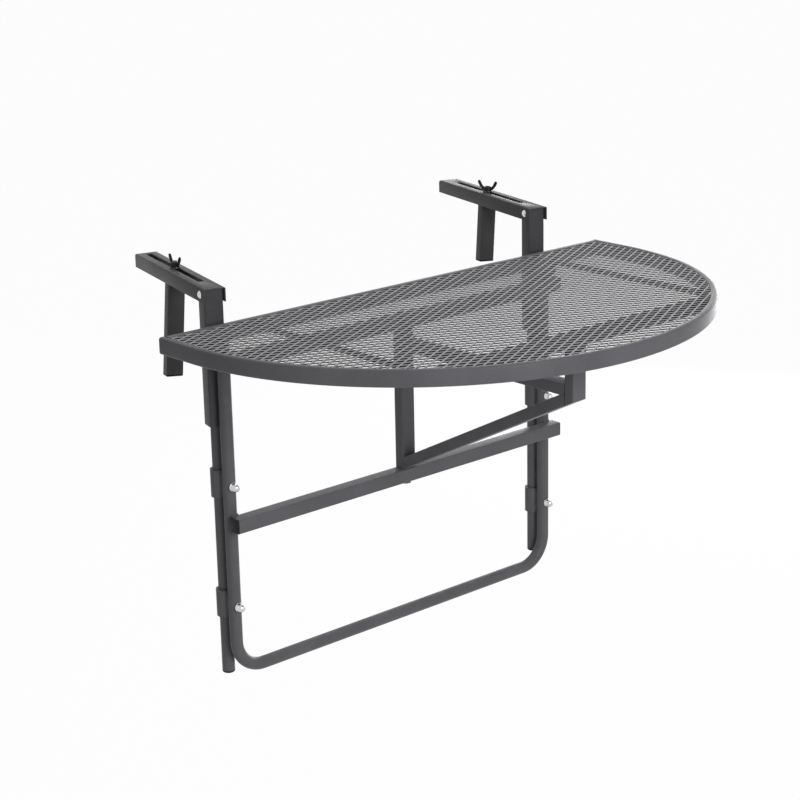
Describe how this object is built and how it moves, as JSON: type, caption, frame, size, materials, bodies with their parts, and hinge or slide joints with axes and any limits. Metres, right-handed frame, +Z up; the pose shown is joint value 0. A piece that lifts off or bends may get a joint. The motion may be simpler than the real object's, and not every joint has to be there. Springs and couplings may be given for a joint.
{
  "type": "balcony railing bar table",
  "caption": "Half-round mesh table on a tube frame that hangs from a balcony railing on adjustable hooks, propped by a swinging bracket.",
  "frame": {"origin": "midway between the hooks, on the line where the railing's near side meets the backs of the posts, level with the underside of the right hook's arm", "axes": "+X along the railing to the user's right, +Y over the railing away from the user, +Z up"},
  "size_m": [1, 0.9161, 0.7277],
  "materials": {
    "coated_steel": "fine textured anthracite powder coat",
    "coated_mesh": "anthracite powder coat on expanded metal",
    "bright_screw": "bright plated",
    "zinc": "zinc plated",
    "dark_nut": "black coated",
    "black_plastic": "matt moulded"
  },
  "bodies": {
    "frame": {"frame_tube": "coated_steel", "frame_end_caps": "black_plastic", "upper_crossbar": "coated_steel", "lower_crossbar": "coated_steel", "crossbar_end_caps": "black_plastic", "left_upper_sleeve": "coated_steel", "right_upper_sleeve": "coated_steel", "left_lower_sleeve": "coated_steel", "right_lower_sleeve": "coated_steel", "hinge_bolts": "zinc", "bracket_pivot_pins": "zinc"},
    "tabletop": {"rim_tube": "coated_steel", "rim_end_caps": "coated_steel", "back_rail": "coated_steel", "front_bar": "coated_steel", "left_depth_bar": "coated_steel", "right_depth_bar": "coated_steel", "mesh_sheet": "coated_mesh", "left_hinge_strap": "coated_steel", "right_hinge_strap": "coated_steel"},
    "bracket": {"bracket_leg": "coated_steel", "bracket_top_bar": "coated_steel", "bracket_strut": "coated_steel", "bracket_front_post": "coated_steel", "bracket_bushes": "black_plastic", "bracket_rest_cap": "coated_steel"},
    "left_tube": {"left_hook_tube": "coated_steel", "left_tube_end_cap": "black_plastic"},
    "left_hook": {"left_post": "coated_steel", "left_post_plates": "coated_steel", "left_arm": "coated_steel", "left_arm_bolt": "zinc"},
    "left_jaw": {"left_jaw": "coated_steel", "left_jaw_plug": "black_plastic", "left_jaw_bolt": "zinc", "left_jaw_washer": "zinc"},
    "left_wing_nut": {"left_wing_nut": "dark_nut"},
    "left_upper_screw": {"left_upper_clamp_screw": "bright_screw"},
    "left_lower_screw": {"left_lower_clamp_screw": "bright_screw"},
    "right_tube": {"right_hook_tube": "coated_steel", "right_tube_end_cap": "black_plastic"},
    "right_hook": {"right_post": "coated_steel", "right_post_plates": "coated_steel", "right_arm": "coated_steel", "right_arm_bolt": "zinc"},
    "right_jaw": {"right_jaw": "coated_steel", "right_jaw_plug": "black_plastic", "right_jaw_bolt": "zinc", "right_jaw_washer": "zinc"},
    "right_wing_nut": {"right_wing_nut": "dark_nut"},
    "right_upper_screw": {"right_upper_clamp_screw": "bright_screw"},
    "right_lower_screw": {"right_lower_clamp_screw": "bright_screw"}
  },
  "joints": [
    {"name": "tabletop_lift", "type": "hinge", "parent": "frame", "child": "tabletop", "pos_m": [0, -0.0403, -0.125], "axis": [-1, 0, 0], "range_deg": [0, 1]},
    {"name": "bracket_swing", "type": "hinge", "parent": "frame", "child": "bracket", "pos_m": [0, -0.0638, -0.384], "axis": [0, 0, 1], "range_deg": [-88, 88]},
    {"name": "left_hook_height", "type": "slide", "parent": "frame", "child": "left_tube", "axis": [0, 0, 1], "range_m": [-0.029, 0.1]},
    {"name": "left_hook_swivel", "type": "hinge", "parent": "left_tube", "child": "left_hook", "pos_m": [-0.369, -0.014, -0.0234], "axis": [0, 0, 1], "range_deg": [-1, 29]},
    {"name": "left_jaw_slide", "type": "slide", "parent": "left_hook", "child": "left_jaw", "axis": [0.2419, 0.9703, 0], "range_m": [-0.107, 0.12]},
    {"name": "left_wing_nut_turn", "type": "hinge", "parent": "left_jaw", "child": "left_wing_nut", "pos_m": [-0.33174, 0.13543, 0.0006], "axis": [0, 0, 1], "continuous": true},
    {"name": "left_upper_screw_turn", "type": "hinge", "parent": "frame", "child": "left_upper_screw", "pos_m": [-0.369, -0.0513, -0.334], "axis": [0, 1, 0], "continuous": true},
    {"name": "left_lower_screw_turn", "type": "hinge", "parent": "frame", "child": "left_lower_screw", "pos_m": [-0.369, -0.0513, -0.548], "axis": [0, 1, 0], "continuous": true},
    {"name": "right_hook_height", "type": "slide", "parent": "frame", "child": "right_tube", "axis": [0, 0, 1], "range_m": [-0.052, 0.077]},
    {"name": "right_hook_swivel", "type": "hinge", "parent": "right_tube", "child": "right_hook", "pos_m": [0.369, -0.014, 0], "axis": [0, 0, 1], "range_deg": [-1, 29]},
    {"name": "right_jaw_slide", "type": "slide", "parent": "right_hook", "child": "right_jaw", "axis": [0.2419, 0.9703, 0], "range_m": [-0.12, 0.108]},
    {"name": "right_wing_nut_turn", "type": "hinge", "parent": "right_jaw", "child": "right_wing_nut", "pos_m": [0.4094, 0.14804, 0.024], "axis": [0, 0, 1], "continuous": true},
    {"name": "right_upper_screw_turn", "type": "hinge", "parent": "frame", "child": "right_upper_screw", "pos_m": [0.369, -0.0513, -0.334], "axis": [0, 1, 0], "continuous": true},
    {"name": "right_lower_screw_turn", "type": "hinge", "parent": "frame", "child": "right_lower_screw", "pos_m": [0.369, -0.0513, -0.548], "axis": [0, 1, 0], "continuous": true}
  ]
}
